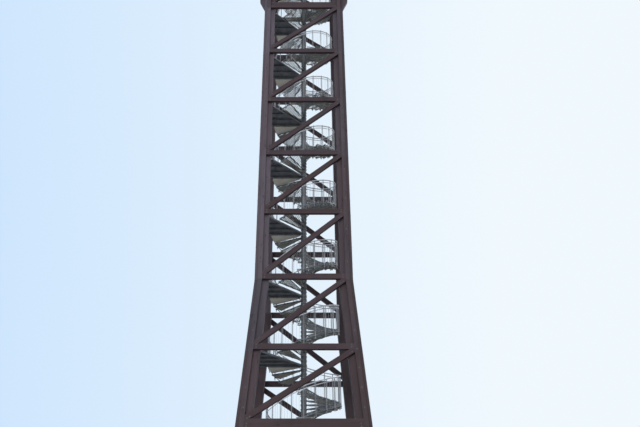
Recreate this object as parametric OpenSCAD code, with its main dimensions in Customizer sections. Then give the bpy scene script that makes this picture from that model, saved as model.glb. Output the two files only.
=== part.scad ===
// Timber lattice lookout tower on four splayed legs, with a galvanised spiral stair inside,
// an open gallery at the top and a low hipped roof.
// Origin: centre of the stair column's foot flange, on the ground. The front faces -Y.

/* [Frame] */
// Height of one bay of the lattice
bay_h = 2800; // [2700:10:2900]
// Bays of the splayed lower part
splay_bays = 5; // [3:1:6]
// Bays of the straight shaft above it
shaft_bays = 7; // [3:1:7]
// Outer width of the straight shaft
shaft_w = 3620; // [3560:10:3900]
// Outward run of each face for one splayed bay
splay_run = 216; // [140:2:250]

/* [Timber] */
// Side of the square core of a shaft leg
shaft_core = 350; // [310:10:370]
// Side of the square core of a splayed leg
splay_core = 400; // [370:10:440]
// Thickness of the cover planks, beams and braces
plank_t = 120; // [90:5:140]
// Width of a cover plank
plank_w = 160; // [140:5:180]
// Height of a horizontal beam
beam_h = 210; // [180:5:240]
// Height of a beam in the two heavy rings
heavy_beam_h = 350; // [280:5:400]
// Level of the lower heavy ring, counted in bays
heavy_level = 3; // [2:1:3]
// Width of a diagonal brace
brace_w = 185; // [150:5:220]

/* [Stair] */
// Treads between two landings
flight_treads = 16; // [14:1:18]
// Width of a landing, counted in treads
landing_sectors = 4; // [3:1:5]
// Turn of the landings' upper edge from the front of the tower, in degrees
landing_turn = -45; // [-55:5:-35]
// Outer radius of the treads
tread_r = 1320; // [1250:5:1340]
// Angle by which a tread laps over the one below, in degrees
tread_lap = 2; // [1:0.5:3]
// Depth of a tread's bars and frame
tread_h = 40; // [30:1:50]
// Depth of a landing's bars and frame
landing_h = 70; // [50:1:90]
// Thickness of the frame round a grating
grating_frame = 10; // [8:1:14]
// Thickness of a grating's bars
grating_bar = 5; // [4:1:8]
// Distance from bar to bar
grating_pitch = 66; // [60:1:80]
// Width of the arms that tie a landing to the left face
arm_w = 60; // [50:5:80]
// Thickness of the plate on those arms
wing_t = 8; // [6:1:12]
// Thickness of the ribs under that plate
rib_t = 12; // [8:1:16]
// Distance from rib to rib
rib_pitch = 400; // [300:10:500]
// Outer radius of the column
column_r = 98; // [84:1:108]
// Wall of the column tube
column_wall = 8; // [6:0.5:12]
// Wall of the ring that holds a tread on the column
hub_wall = 22; // [18:1:30]
// Radius of a rail post
post_r = 15; // [12:1:20]
// Length of a rail post below the top of its tread
post_drop = 150; // [100:5:200]
// Height of the handrail over the treads
rail_h = 1100; // [1000:10:1150]
// Radius of the handrail tube
rail_r = 21; // [18:0.5:25]

/* [Gallery] */
// How far the gallery reaches past the shaft
gallery_out = 1000; // [900:10:1100]
// Thickness of the floor boards
floor_t = 45; // [35:1:60]
// Width of a joist
joist_w = 100; // [80:5:120]
// Least depth of joist and floor together
least_joist = 200; // [180:5:240]
// Radius of the stairwell in the floor
well_r = 1430; // [1400:5:1450]
// Height of the boarded parapet
parapet_h = 1100; // [1000:10:1200]
// Thickness of the parapet
parapet_t = 50; // [40:1:70]
// Clear height from the floor to the eaves beams
eaves_h = 2300; // [2150:10:2500]
// Side of a roof post
roof_post = 140; // [120:5:160]
// Height of an eaves beam
eaves_beam_h = 160; // [120:5:200]
// How far the roof reaches past the gallery
roof_out = 350; // [250:10:450]
// Rise of the roof
roof_rise = 1150; // [900:10:1300]
// Thickness of the roof covering
roof_t = 60; // [40:5:80]
// Width of a hip rafter
rafter_w = 80; // [60:5:100]
// Height of a hip rafter
rafter_h = 140; // [120:5:180]

/* [Head brackets] */
// How far a bracket stands off the leg
bracket_out = 233; // [180:1:250]
// Height of the sloping foot of a bracket
bracket_foot = 550; // [450:10:650]
// Bays of the shaft beside the brackets
bracket_bays = 2; // [1:1:3]

/* [Feet] */
// Side of a leg's base plate
base_plate = 720; // [700:10:760]
// Thickness of a base plate
base_plate_t = 30; // [20:1:40]
// Distance between anchor holes
anchor_pitch = 610; // [600:5:640]
// Radius of an anchor hole
anchor_r = 14; // [11:0.5:16]
// Height of the cheek plates that hold a leg
cheek_h = 450; // [350:10:600]
// Thickness of a cheek plate
cheek_t = 12; // [10:1:16]
// Side of the column's foot flange
flange = 420; // [390:10:460]
// Thickness of the flange
flange_t = 20; // [15:1:25]
// Distance between the flange's holes
flange_pitch = 320; // [300:5:340]
// Radius of a flange hole
flange_hole_r = 11; // [9:0.5:13]

/* [Hidden] */

timber = [0.27, 0.22, 0.23];
board = [0.33, 0.26, 0.25];
steel = [0.55, 0.58, 0.58];
sheet = [0.2, 0.2, 0.21];

// Clearance of a seat, where one piece rests on another of its own node
seat_gap = 0.3;
// How far a cutting tool runs past the face that it cuts
past = 1;

// The lattice
half = shaft_w / 2;
kink_z = splay_bays * bay_h;
top_level = splay_bays + shaft_bays;
bracket_level = top_level - bracket_bays;
splay_slope = splay_run / bay_h;
tilt = atan(splay_slope);
splay_leg_w = splay_core + plank_t;
shaft_leg_w = shaft_core + plank_t;
cover_edge = plank_t + plank_w;
leg_top = top_level * bay_h + beam_h;
cheek_top = base_plate_t + cheek_h;
// How far the inner edge of a plank's square end lies below its outer edge in a splayed face
dip = plank_t * sin(tilt) * cos(tilt);
foot_centre = half + splay_slope * kink_z - splay_leg_w / 2;

// The stair climbs one bay a turn: a flight of treads, then a landing
flight_steps = flight_treads + 1;
riser = bay_h / flight_steps;
step_a = 360 / (flight_treads + landing_sectors);
// Direction of a landing's upper edge from +X
wing_a = landing_turn - 90;
rib_count = floor(half_at(0) / rib_pitch);
step_count = ceil((leg_top + least_joist) / riser) - 1;
mid_step = floor(step_count / 2);
flight_nodes = 6;
floor_z = (step_count + 1) * riser;
hub_r = column_r + hub_wall;
post_ring_r = tread_r + post_r;
sector_run = post_ring_r * step_a * PI / 180;
rail_joint_a = 0.05;
rail_bend_a = atan(rail_r * tan(rail_slope(riser / 2) / 2) / post_ring_r);
newel_rise = 60;
// Segments to a full circle of a bent rail
bend_fn = 240;

// The gallery
joist_z = leg_top;
joist_h = floor_z - floor_t - joist_z;
gallery_half = half + gallery_out;
framing_r = well_r + 20;
tail_joist_x = 450;
exit_a = step_turn(step_count) + step_a / 2 + tread_lap;
exit_span = landing_sectors * step_a;
exit_gap = 5;
guard_r = well_r + 40;
guard_gap_a = 1.5 * step_a;
guard_bays = 7;
guard_start = exit_a + exit_span;
guard_span = 360 - exit_span - guard_gap_a;
guard_edge_y = post_r + grating_frame;

// The roof
eaves_top = floor_z + eaves_h + eaves_beam_h;
roof_half = gallery_half + roof_out;
roof_pitch = roof_rise / roof_half;
mitre_gap = 0.2;

// Half width of the tower's outer face at height z
function half_at(z) = half + splay_slope * max(0, kink_z - z);

// Plan of a shaft leg at the +X -Y corner, measured from the tower's outer corner:
// a square core with a cover plank on each of its two outer faces
function leg_plan() = [
    [-plank_t, 0], [-plank_t, plank_t], [0, plank_t], [0, cover_edge], [-plank_t, cover_edge],
    [-plank_t, plank_t + shaft_core], [-plank_t - shaft_core, plank_t + shaft_core],
    [-plank_t - shaft_core, plank_t], [-cover_edge, plank_t], [-cover_edge, 0]
];

// Block of a splayed leg at the +X -Y corner, between two distances in from the tower's
// outer face on each side. Its plan stays a rectangle that slides outwards going down.
module leaning_block(x_in, y_in, z0, z1) {
    span = 2 * half_at(0);
    intersection() {
        translate([0, span, 0]) rotate([90, 0, 0]) linear_extrude(2 * span)
            polygon([[half_at(z0) - x_in[1], z0], [half_at(z0) - x_in[0], z0],
                     [half_at(z1) - x_in[0], z1], [half_at(z1) - x_in[1], z1]]);
        translate([-span, 0, 0]) rotate([90, 0, 90]) linear_extrude(2 * span)
            polygon([[y_in[0] - half_at(z0), z0], [y_in[1] - half_at(z0), z0],
                     [y_in[1] - half_at(z1), z1], [y_in[0] - half_at(z1), z1]]);
    }
}

// A plate in a vertical face of the shaft, drawn as seen from outside
module shaft_plate(outline) {
    translate([0, plank_t - half, 0])
        rotate([90, 0, 0])
            linear_extrude(plank_t) polygon(outline);
}

// A plate in a splayed face, drawn with true heights as seen from outside
module splay_plate(outline) {
    t = plank_t * cos(tilt);
    flat = [for (p = outline) [p[0], (p[1] - kink_z) / cos(tilt)]];
    translate([0, -half, kink_z])
        rotate([90 - tilt, 0, 0])
            translate([0, 0, -t]) linear_extrude(t) polygon(flat);
}

module face_plate(outline) {
    if (outline[0][1] < kink_z) splay_plate(outline);
    else shaft_plate(outline);
}

function beam_height(level) = level == heavy_level || level == bracket_level ? heavy_beam_h : beam_h;

// Half length of a beam at height z, between the cover planks
function reach(z) = half_at(z) - cover_edge;

// Outline of the beam whose lower edge is at a level
function beam_outline(level) =
    let (z0 = level * bay_h, z1 = z0 + beam_height(level))
    [[-reach(z0), z0], [reach(z0), z0], [reach(z1), z1], [-reach(z1), z1]];

// Outline of the diagonal over a level, from lower left to upper right,
// cut half against the beams and half against the cover planks
function brace_outline(level) =
    let (
        z0 = level * bay_h + (level == 0 ? cheek_top + dip : beam_height(level)),
        z1 = (level + 1) * bay_h,
        x0 = reach(z0),
        x1 = reach(z1),
        a = atan((z1 - z0) / (x0 + x1)),
        up = brace_w / cos(a) / 2,
        side = brace_w / sin(a) / 2
    )
    [[-x0, z0], [-x0 + side, z0], [x1, z1 - up], [x1, z1], [x1 - side, z1], [-x0, z0 + up]];

module beams(side) {
    color(timber) rotate([0, 0, 90 * side])
        for (level = [1:top_level]) face_plate(beam_outline(level));
}

// The lowest bay of the front is left open, as the way in
module braces(side) {
    first = side == 0 ? 1 : 0;
    color(timber) rotate([0, 0, 90 * side])
        for (level = [first:top_level - 1]) face_plate(brace_outline(level));
}

// Base plate with four cheek plates, which lean with the leg that they hold
module foot(corner) {
    inside = [splay_leg_w, splay_leg_w + cheek_t];
    outside = [plank_t - cheek_t, plank_t];
    along = [cover_edge + cheek_t, splay_leg_w + cheek_t];
    color(steel) rotate([0, 0, 90 * corner]) union() {
        translate([foot_centre, -foot_centre, 0]) difference() {
            translate([-base_plate / 2, -base_plate / 2, 0]) cube([base_plate, base_plate, base_plate_t]);
            for (x = [-1, 1], y = [-1, 1])
                translate([x * anchor_pitch / 2, y * anchor_pitch / 2, -past])
                    cylinder(r = anchor_r, h = base_plate_t + 2 * past, $fn = 24);
        }
        leaning_block(inside, along, base_plate_t - past, cheek_top);
        leaning_block(along, inside, base_plate_t - past, cheek_top);
        leaning_block(outside, along, base_plate_t - past, cheek_top);
        leaning_block(along, outside, base_plate_t - past, cheek_top);
    }
}

module splay_leg(corner) {
    core = [plank_t, splay_leg_w];
    cover = [plank_t, cover_edge];
    outer = [0, plank_t];
    color(timber) rotate([0, 0, 90 * corner]) {
        leaning_block(core, core, base_plate_t, kink_z);
        leaning_block(cover, outer, base_plate_t, kink_z);
        leaning_block(outer, cover, base_plate_t, kink_z);
    }
}

module shaft_leg(corner) {
    color(timber) rotate([0, 0, 90 * corner])
        translate([half, -half, kink_z]) linear_extrude(leg_top - kink_z) polygon(leg_plan());
}

// Side view of a bracket's plank: distance out from the leg, height
function bracket_plank() =
    let (z0 = bracket_level * bay_h)
    [[0, z0], [bracket_out, z0 + bracket_foot], [bracket_out, leg_top], [0, leg_top]];

// Side view of the knee that carries the gallery's edge beam from the plank
function bracket_knee() =
    let (inner = bracket_out + seat_gap, knee = gallery_out - roof_post - inner)
    [[inner, leg_top - knee - beam_h], [inner + knee, leg_top - beam_h],
     [inner + knee, leg_top], [inner, leg_top]];

module head_brackets() {
    color(timber) for (corner = [0:3], outline = [bracket_plank(), bracket_knee()])
        rotate([0, 0, 90 * corner]) {
            translate([half, cover_edge - half, 0]) rotate([90, 0, 0])
                linear_extrude(plank_w) polygon(outline);
            translate([half - cover_edge, -half, 0]) rotate([90, 0, -90]) mirror([0, 0, 1])
                linear_extrude(plank_w) polygon(outline);
        }
}

module stair_column() {
    height = floor_z + rail_h + newel_rise;
    color(steel) difference() {
        union() {
            translate([-flange / 2, -flange / 2, 0]) cube([flange, flange, flange_t]);
            cylinder(r = column_r, h = height, $fn = 48);
        }
        translate([0, 0, flange_t]) cylinder(r = column_r - column_wall, h = height, $fn = 48);
        for (x = [-1, 1], y = [-1, 1])
            translate([x * flange_pitch / 2, y * flange_pitch / 2, -past])
                cylinder(r = flange_hole_r, h = flange_t + 2 * past, $fn = 24);
    }
}

// A step is a tread or a landing. They are counted from the ground, the lowest being 1.
function flight_of(step) = floor((step - 1) / flight_steps);
function place_in_flight(step) = (step - 1) % flight_steps;
function is_landing(step) = place_in_flight(step) == 0 && flight_of(step) > 0 && flight_of(step) < top_level;

// Direction of a tread's middle from +X. Above the highest beams the treads
// run on where the lower turns have their landing.
function step_turn(step) =
    let (sectors = flight_of(step) < top_level ? place_in_flight(step) - 0.5
                                               : place_in_flight(step) + 0.5 - landing_sectors)
    wing_a + step_a * sectors;

// Direction of the middle of a landing's sector, the lowest being 0
function sector_turn(sector) = wing_a + step_a * (sector + 0.5 - landing_sectors);

// Wedge about +X from the axis to a radius
function wedge(a, r) =
    concat([[0, 0]], [for (i = [-2:2]) r * [cos(a * i / 2), sin(a * i / 2)]]);

// Point on the inner side of a grating's side bar, at a distance from the axis
function inner_side(a, side, r) =
    [r * cos(a) + grating_frame * sin(a), side * (r * sin(a) - grating_frame * cos(a))];

// Wedge inside a grating's frame
function inner_wedge(a, r) =
    let (rim = r - grating_frame, b = a - asin(grating_frame / rim), root = hub_r + grating_pitch)
    concat([inner_side(a, 1, root), inner_side(a, -1, root)],
           [for (i = [-2:2]) rim * [cos(b * i / 2), sin(b * i / 2)]]);

// Flat grating about +X: a frame, and bars along it
module grating(a, r) {
    count = ceil(r * sin(a) / grating_pitch);
    difference() {
        polygon(wedge(a, r));
        intersection() {
            polygon(inner_wedge(a, r));
            for (n = [-count:count - 1])
                translate([0, n * grating_pitch + grating_bar / 2])
                    square([r, grating_pitch - grating_bar]);
        }
    }
}

// One tread along +X with its top at z = 0, on a ring round the column
module tread() {
    translate([0, 0, -tread_h]) linear_extrude(tread_h) difference() {
        union() {
            grating(step_a / 2 + tread_lap, tread_r);
            circle(r = hub_r, $fn = 32);
        }
        circle(r = column_r + seat_gap, $fn = 48);
    }
}

// Gratings side by side on one ring, each lapping its neighbours
module landing_plan(first_turn, r) {
    for (sector = [0:landing_sectors - 1])
        rotate(first_turn + step_a * sector) grating(step_a / 2 + tread_lap, r);
    circle(r = hub_r, $fn = 32);
}

// Plan of a landing's front part, out to the left face and to the side of the front leg
module wing(z) {
    edge_x = half_at(z) - plank_t - seat_gap;
    edge_y = half_at(z) - (z < kink_z ? splay_leg_w : shaft_leg_w) - seat_gap;
    far = 2 * half_at(0);
    intersection() {
        translate([-edge_x, -edge_y]) square([edge_x, edge_y + arm_w / 2]);
        polygon([[0, 0], [0, arm_w / 2], [-far, arm_w / 2], far * [cos(wing_a), sin(wing_a)]]);
    }
}

// Landing of a level: gratings at the back, and in front a plate on arms and ribs,
// which reaches the left face
module landing(level) {
    z = level * bay_h + riser;
    long = 2 * half_at(0);
    translate([0, 0, z]) difference() {
        union() {
            translate([0, 0, -landing_h]) linear_extrude(landing_h) {
                difference() {
                    landing_plan(sector_turn(0), tread_r);
                    translate([-long, -long]) square([2 * long, long]);
                }
                circle(r = hub_r, $fn = 32);
                intersection() {
                    wing(z);
                    union() {
                        for (turn = [180, wing_a])
                            rotate(turn) translate([0, -arm_w / 2]) square([long, arm_w]);
                        for (n = [1:rib_count])
                            translate([-long, -n * rib_pitch]) square([long, rib_t]);
                    }
                }
            }
            translate([0, 0, -wing_t]) linear_extrude(wing_t) wing(z);
        }
        translate([0, 0, -landing_h - past]) cylinder(r = column_r + seat_gap, h = landing_h + 2 * past, $fn = 48);
    }
}

// The top landing lies in the stairwell, level with the floor
module exit_landing() {
    translate([0, 0, floor_z - landing_h]) linear_extrude(landing_h) difference() {
        landing_plan(exit_a + step_a / 2, well_r - exit_gap);
        circle(r = column_r + seat_gap, $fn = 48);
    }
}

// The stair is cut into stretches of as many steps each. The last one has the top landing.
module flight(n) {
    per = ceil(step_count / flight_nodes);
    color(steel) {
        for (step = [(n - 1) * per + 1 : min(n * per, step_count)]) {
            if (is_landing(step)) landing(flight_of(step));
            else translate([0, 0, step * riser]) rotate([0, 0, step_turn(step)]) tread();
        }
        if (n == flight_nodes) exit_landing();
    }
}

// Rise of the handrail over a landing's sector. It eases into the slope at both ends.
function sector_rise(sector) = sector == 0 || sector == landing_sectors - 1 ? riser / 2 : 0;

// Height of the handrail over the middle of a landing's sector, from its height over the landing
function sector_lift(sector) = sector == 0 ? -riser / 4 : sector == landing_sectors - 1 ? riser / 4 : 0;

function rail_slope(rise) = atan(rise / sector_run);

module rail_post(z, drop, lift, rise) {
    low = max(0, z - drop);
    slope = rail_slope(rise);
    high = z + rail_h + lift - rail_r / cos(slope) - post_r * tan(slope) - seat_gap;
    translate([post_ring_r, 0, low]) cylinder(r = post_r, h = high - low, $fn = 16);
}

module rail_posts(first, last) {
    color(steel) for (step = [first:last]) {
        if (is_landing(step))
            for (sector = [0:landing_sectors - 1])
                rotate([0, 0, sector_turn(sector)])
                    rail_post(step * riser, post_ring_r * sin(sector_turn(sector)) > arm_w ? post_drop : 0,
                              sector_lift(sector), sector_rise(sector));
        else
            rotate([0, 0, step_turn(step)]) rail_post(step * riser, post_drop, 0, riser);
    }
}

// One bent length of handrail over a sector, with its post at its middle.
// Its ends are cut back by two angles, to leave the joints open.
module rail_length(rise, low_joint, high_joint) {
    slope = rail_slope(rise);
    a = atan(tan(step_a / 2) / cos(slope));
    rotate([slope, 0, 0]) rotate([0, 0, low_joint - a])
        rotate_extrude(angle = 2 * a - low_joint - high_joint, $fn = bend_fn)
            translate([post_ring_r, 0]) circle(r = rail_r, $fn = 16);
}

// Over a landing the rail bends up and down, so its joints there are wider
module landing_rail(sector) {
    low = sector == 0 ? 2 : 1;
    high = sector == landing_sectors - 1 ? 2 : 1;
    rotate([0, 0, sector_turn(sector)]) translate([0, 0, sector_lift(sector)])
        rail_length(sector_rise(sector), rail_joint_a + low * rail_bend_a, rail_joint_a + high * rail_bend_a);
}

module handrail(first, last) {
    color(steel) for (step = [first:last]) translate([0, 0, step * riser + rail_h]) {
        if (is_landing(step)) for (sector = [0:landing_sectors - 1]) landing_rail(sector);
        else rotate([0, 0, step_turn(step)]) rail_length(riser, rail_joint_a, rail_joint_a);
    }
}

module gallery_joists() {
    reach_y = gallery_half - roof_post;
    inner_x = framing_r + joist_w / 2;
    color(timber) {
        for (side = [0, 1]) mirror([side, 0, 0]) {
            for (x = [inner_x, (inner_x + reach_y) / 2])
                translate([x - joist_w / 2, -reach_y, joist_z]) cube([joist_w, 2 * reach_y, joist_h]);
            translate([reach_y, -reach_y, joist_z]) cube([roof_post, 2 * reach_y, joist_h]);
        }
        for (s = [-1, 1], end = [0, 1]) mirror([0, end, 0])
            translate([s * tail_joist_x - joist_w / 2, framing_r + joist_w, joist_z])
                cube([joist_w, reach_y - framing_r - joist_w, joist_h]);
    }
}

module gallery_trimmers() {
    color(timber) for (end = [0, 1]) mirror([0, end, 0]) {
        translate([-framing_r, framing_r, joist_z]) cube([2 * framing_r, joist_w, joist_h]);
        translate([-gallery_half, gallery_half - roof_post, joist_z])
            cube([2 * gallery_half, roof_post, joist_h]);
    }
}

module gallery_floor() {
    color(board) translate([0, 0, floor_z - floor_t]) difference() {
        translate([-gallery_half, -gallery_half, 0]) cube([2 * gallery_half, 2 * gallery_half, floor_t]);
        translate([0, 0, -past]) cylinder(r = well_r, h = floor_t + 2 * past, $fn = 72);
    }
}

module parapet(side) {
    color(board) rotate([0, 0, 90 * side])
        translate([-gallery_half + roof_post, -gallery_half, floor_z])
            cube([2 * (gallery_half - roof_post), parapet_t, parapet_h]);
}

module roof_posts() {
    color(timber) for (corner = [0:3]) rotate([0, 0, 90 * corner])
        translate([gallery_half - roof_post, -gallery_half, floor_z]) cube([roof_post, roof_post, eaves_h]);
}

module eaves_beams() {
    inner = gallery_half - roof_post;
    color(timber) for (side = [0:3]) rotate([0, 0, 90 * side])
        translate([0, 0, floor_z + eaves_h]) linear_extrude(eaves_beam_h)
            polygon([[-gallery_half + mitre_gap, -gallery_half], [gallery_half - mitre_gap, -gallery_half],
                     [inner - mitre_gap, -inner], [-inner + mitre_gap, -inner]]);
}

// Four slopes that meet at mitred hips. Each is a sloping plate, cut upright to its quarter of the plan.
module roof_covering() {
    eaves_z = eaves_top - roof_pitch * roof_out;
    color(sheet) for (side = [0:3]) rotate([0, 0, 90 * side]) intersection() {
        rotate([90, 0, 90]) translate([0, 0, -roof_half]) linear_extrude(2 * roof_half)
            polygon([[-roof_half, eaves_z], [0, eaves_z + roof_rise],
                     [0, eaves_z + roof_rise + roof_t], [-roof_half, eaves_z + roof_t]]);
        translate([0, 0, floor_z]) linear_extrude(eaves_top + roof_rise)
            polygon([[0, -mitre_gap], [-roof_half, -roof_half - mitre_gap], [roof_half, -roof_half - mitre_gap]]);
    }
}

// Height of a rafter's top edge under the roof at a distance from the centre along the hip
function rafter_top(s) = eaves_top + roof_pitch * (gallery_half - (s + rafter_w / 2) / sqrt(2));

module hip_rafters() {
    near = rafter_w / 2 + mitre_gap;
    far = (gallery_half - roof_post) * sqrt(2) - rafter_w / 2 - mitre_gap;
    color(timber) for (corner = [0:3]) rotate([0, 0, 90 * corner + 45])
        rotate([90, 0, 0]) translate([0, 0, -rafter_w / 2]) linear_extrude(rafter_w)
            polygon([[near, rafter_top(near)], [far, rafter_top(far)],
                     [far, rafter_top(far) - rafter_h], [near, rafter_top(near) - rafter_h]]);
}

// Railing round the stairwell, and along the far edge of the top landing
module well_guard_posts() {
    high = rail_h - rail_r - seat_gap;
    color(steel) translate([0, 0, floor_z]) {
        for (i = [0:guard_bays]) rotate([0, 0, guard_start + guard_span * i / guard_bays])
            translate([guard_r, 0, 0]) cylinder(r = post_r, h = high, $fn = 16);
        rotate([0, 0, guard_start]) translate([(column_r + well_r) / 2, -guard_edge_y, 0])
            cylinder(r = post_r, h = high, $fn = 16);
    }
}

module well_guard_rail() {
    lengths = 2 * guard_bays;
    length_a = guard_span / lengths - 2 * rail_joint_a;
    color(steel) translate([0, 0, floor_z + rail_h]) {
        for (i = [0:lengths - 1]) rotate([0, 0, guard_start + guard_span * i / lengths + rail_joint_a])
            rotate_extrude(angle = length_a, $fn = bend_fn) translate([guard_r, 0]) circle(r = rail_r, $fn = 24);
        rotate([0, 0, guard_start]) translate([column_r + seat_gap, -guard_edge_y, 0]) rotate([0, 90, 0])
            cylinder(r = rail_r, h = guard_r - column_r - rail_r - 2 * seat_gap, $fn = 24);
    }
}

foot(0);  // foot_front_right
foot(1);  // foot_rear_right
foot(2);  // foot_rear_left
foot(3);  // foot_front_left
splay_leg(0);  // splay_leg_front_right
splay_leg(1);  // splay_leg_rear_right
splay_leg(2);  // splay_leg_rear_left
splay_leg(3);  // splay_leg_front_left
shaft_leg(0);  // shaft_leg_front_right
shaft_leg(1);  // shaft_leg_rear_right
shaft_leg(2);  // shaft_leg_rear_left
shaft_leg(3);  // shaft_leg_front_left
head_brackets();
beams(0);  // front_beams
beams(1);  // right_beams
beams(2);  // rear_beams
beams(3);  // left_beams
braces(0);  // front_braces
braces(1);  // right_braces
braces(2);  // rear_braces
braces(3);  // left_braces
stair_column();
flight(1);  // flight_1
flight(2);  // flight_2
flight(3);  // flight_3
flight(4);  // flight_4
flight(5);  // flight_5
flight(6);  // flight_6
rail_posts(1, mid_step);  // rail_posts_lower
rail_posts(mid_step + 1, step_count);  // rail_posts_upper
handrail(1, mid_step);  // handrail_lower
handrail(mid_step + 1, step_count);  // handrail_upper
gallery_joists();
gallery_trimmers();
gallery_floor();
parapet(0);  // front_parapet
parapet(1);  // right_parapet
parapet(2);  // rear_parapet
parapet(3);  // left_parapet
well_guard_posts();
well_guard_rail();
roof_posts();
eaves_beams();
hip_rafters();
roof_covering();
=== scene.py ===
"""Looks of the timber lookout tower: stained timber lattice, galvanised spiral stair, gallery and roof.

Lengths are metres in the tower's own frame: Z up, the front faces -Y, the stair column on the Z axis.
"""
import math

import bpy
import numpy as np
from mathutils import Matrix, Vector


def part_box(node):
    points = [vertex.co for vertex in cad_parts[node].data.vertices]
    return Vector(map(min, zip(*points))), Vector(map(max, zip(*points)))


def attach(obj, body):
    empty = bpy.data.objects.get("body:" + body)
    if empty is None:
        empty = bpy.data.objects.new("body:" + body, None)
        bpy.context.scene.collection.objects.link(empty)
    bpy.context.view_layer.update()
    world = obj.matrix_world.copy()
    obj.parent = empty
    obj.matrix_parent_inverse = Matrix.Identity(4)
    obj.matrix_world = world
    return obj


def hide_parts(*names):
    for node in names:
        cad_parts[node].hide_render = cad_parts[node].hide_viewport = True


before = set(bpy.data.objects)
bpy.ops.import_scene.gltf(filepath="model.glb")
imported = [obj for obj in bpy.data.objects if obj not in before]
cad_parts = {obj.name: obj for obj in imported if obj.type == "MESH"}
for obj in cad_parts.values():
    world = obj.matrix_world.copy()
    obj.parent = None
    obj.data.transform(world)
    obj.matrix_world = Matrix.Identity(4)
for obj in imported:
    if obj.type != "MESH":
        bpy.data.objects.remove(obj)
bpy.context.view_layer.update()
BODY = "root"
SIDES = ("front", "right", "rear", "left")

# Driving sizes of the lattice, read from the frame. Cover planks are as thick as beams and braces
SHAFT_LOW, SHAFT_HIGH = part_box("shaft_leg_front_right")
SHAFT_HALF = SHAFT_HIGH.x
SHAFT_W = 2 * SHAFT_HALF
KINK_Z = SHAFT_LOW.z
LEG_TOP = SHAFT_HIGH.z
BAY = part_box("front_beams")[0].z
PLANK = SHAFT_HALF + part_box("front_beams")[1].y
LEVELS = int(LEG_TOP // BAY)
BEAM = LEG_TOP - LEVELS * BAY
SPLAY_LOW, SPLAY_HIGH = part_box("splay_leg_front_right")
SPLAY = (SPLAY_HIGH.x - SHAFT_HALF) / (KINK_Z - SPLAY_LOW.z)
COVER_WIDTH = 0.16
COVER_EDGE = PLANK + COVER_WIDTH
LEG_WIDTH = 0.47
SPLAY_LEG_WIDTH = 0.52

# The stair: one bay a turn, a landing and a flight of treads
FLIGHT_TREADS = 16
RISERS = FLIGHT_TREADS + 1
RISER = BAY / RISERS
LANDING_SECTORS = 4
TURN_SECTORS = FLIGHT_TREADS + LANDING_SECTORS
SECTOR = 2 * math.pi / TURN_SECTORS
FIRST_TURN = math.radians(-135)
TREAD_LAP = math.radians(2)
HALF_TREAD = SECTOR / 2 + TREAD_LAP
FLOOR_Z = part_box("gallery_floor")[1].z
STEPS = round(FLOOR_Z / RISER) - 1
LANDING_Z = np.arange(1, LEVELS) * BAY + RISER
COLUMN_R = 0.098
HUB_R = 0.12
ARM_HALF = 0.03
GRATING_PITCH = 0.066
GRATING_FRAME = 0.01
TREAD_BAR_DEPTH = 0.02
LANDING_BAR_DEPTH = 0.045

# The stair's steps, counted from the ground: the flight of each, and its place in the flight
STEP = np.arange(1, STEPS + 1)
FLIGHT_OF = (STEP - 1) // RISERS
PLACE = (STEP - 1) % RISERS
ON_LANDING = (PLACE == 0) & (FLIGHT_OF > 0) & (FLIGHT_OF < LEVELS)

# The stair's railing. Its line is counted in sectors, and heights are over the treads' line
POST_R = 0.015
POST_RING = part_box("rail_posts_lower")[1].x - POST_R
TREAD_R = POST_RING - POST_R
RAIL_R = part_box("handrail_lower")[1].x - POST_RING
RAIL_H = 1.1
UPPER_FLAT = 0.99
LOWER_FLAT = 0.03
FLAT_T = 0.008
FLAT_HEIGHT = 0.03
BALUSTER_R = 0.0028
BALUSTERS_A_SECTOR = 4
LAST_LANDING = LEVELS * TURN_SECTORS - LANDING_SECTORS
LINE_START = -1.0
LINE_END = LAST_LANDING + 2.0

# The gallery and roof
GALLERY_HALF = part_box("gallery_floor")[1].x
FLOOR_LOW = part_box("gallery_floor")[0].z
WELL_R = 1.43
GUARD_RING = WELL_R + 0.04
PARAPET_LOW, PARAPET_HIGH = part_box("front_parapet")
PARAPET_TOP = PARAPET_HIGH.z
PARAPET_T = PARAPET_HIGH.y - PARAPET_LOW.y
PARAPET_HALF = PARAPET_HIGH.x
ROOF_LOW, ROOF_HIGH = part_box("roof_covering")
ROOF_T = 0.06
ROOF_HALF = ROOF_HIGH.x
ROOF_PITCH = (ROOF_HIGH.z - ROOF_LOW.z - ROOF_T) / ROOF_HALF

# Round parts as prisms on one axis: corners, radius, and lower and upper height of each
ANCHOR_NUT = ((12, 0.03, 0, 0.005), (6, 0.018, 0.005, 0.021), (8, 0.01, 0.021, 0.034))
LOW_HEAD = ((12, 0.03, 0, 0.003), (12, 0.018, 0.003, 0.009))
POST_FOOT = ((16, 0.045, 0, 0.008), (12, POST_R + 0.005, 0.008, 0.03))
COLLAR = ((16, COLUMN_R + 0.008, -0.03, 0),)

# The photograph's view, in widths of the shaft
CAMERA_BACK = 7.263 * SHAFT_W
CAMERA_HEIGHT = 0.4935 * SHAFT_W
CAMERA_PITCH = math.radians(31.5)
FOCAL_PIXELS = 745.6
PHOTO_WIDTH = 640
AXIS_PIXEL = 303.8
SENSOR = 36.0
FARTHEST_SEEN = 1000

# Strength of the even light from the sky
SKY_LIGHT = 0.55

# Stains of the legs and of the beams, where the grain is dark and where it is pale
DARK_STAIN = (0.054, 0.043, 0.05)
PALE_STAIN = (0.118, 0.097, 0.11)
BEAM_DARK = (0.035, 0.0235, 0.027)
BEAM_PALE = (0.077, 0.054, 0.061)
# Each pair of legs: what its colours are multiplied by, lighter or darker, and how warm its tint is
LEG_LIGHTNESS_AND_WARMTH = {"shaft_leg_{}_left": (1.42, 0.1), "shaft_leg_{}_right": (0.9, 0.4),
              "splay_leg_{}_left": (0.92, 0.35), "splay_leg_{}_right": (0.68, 0.75)}
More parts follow.
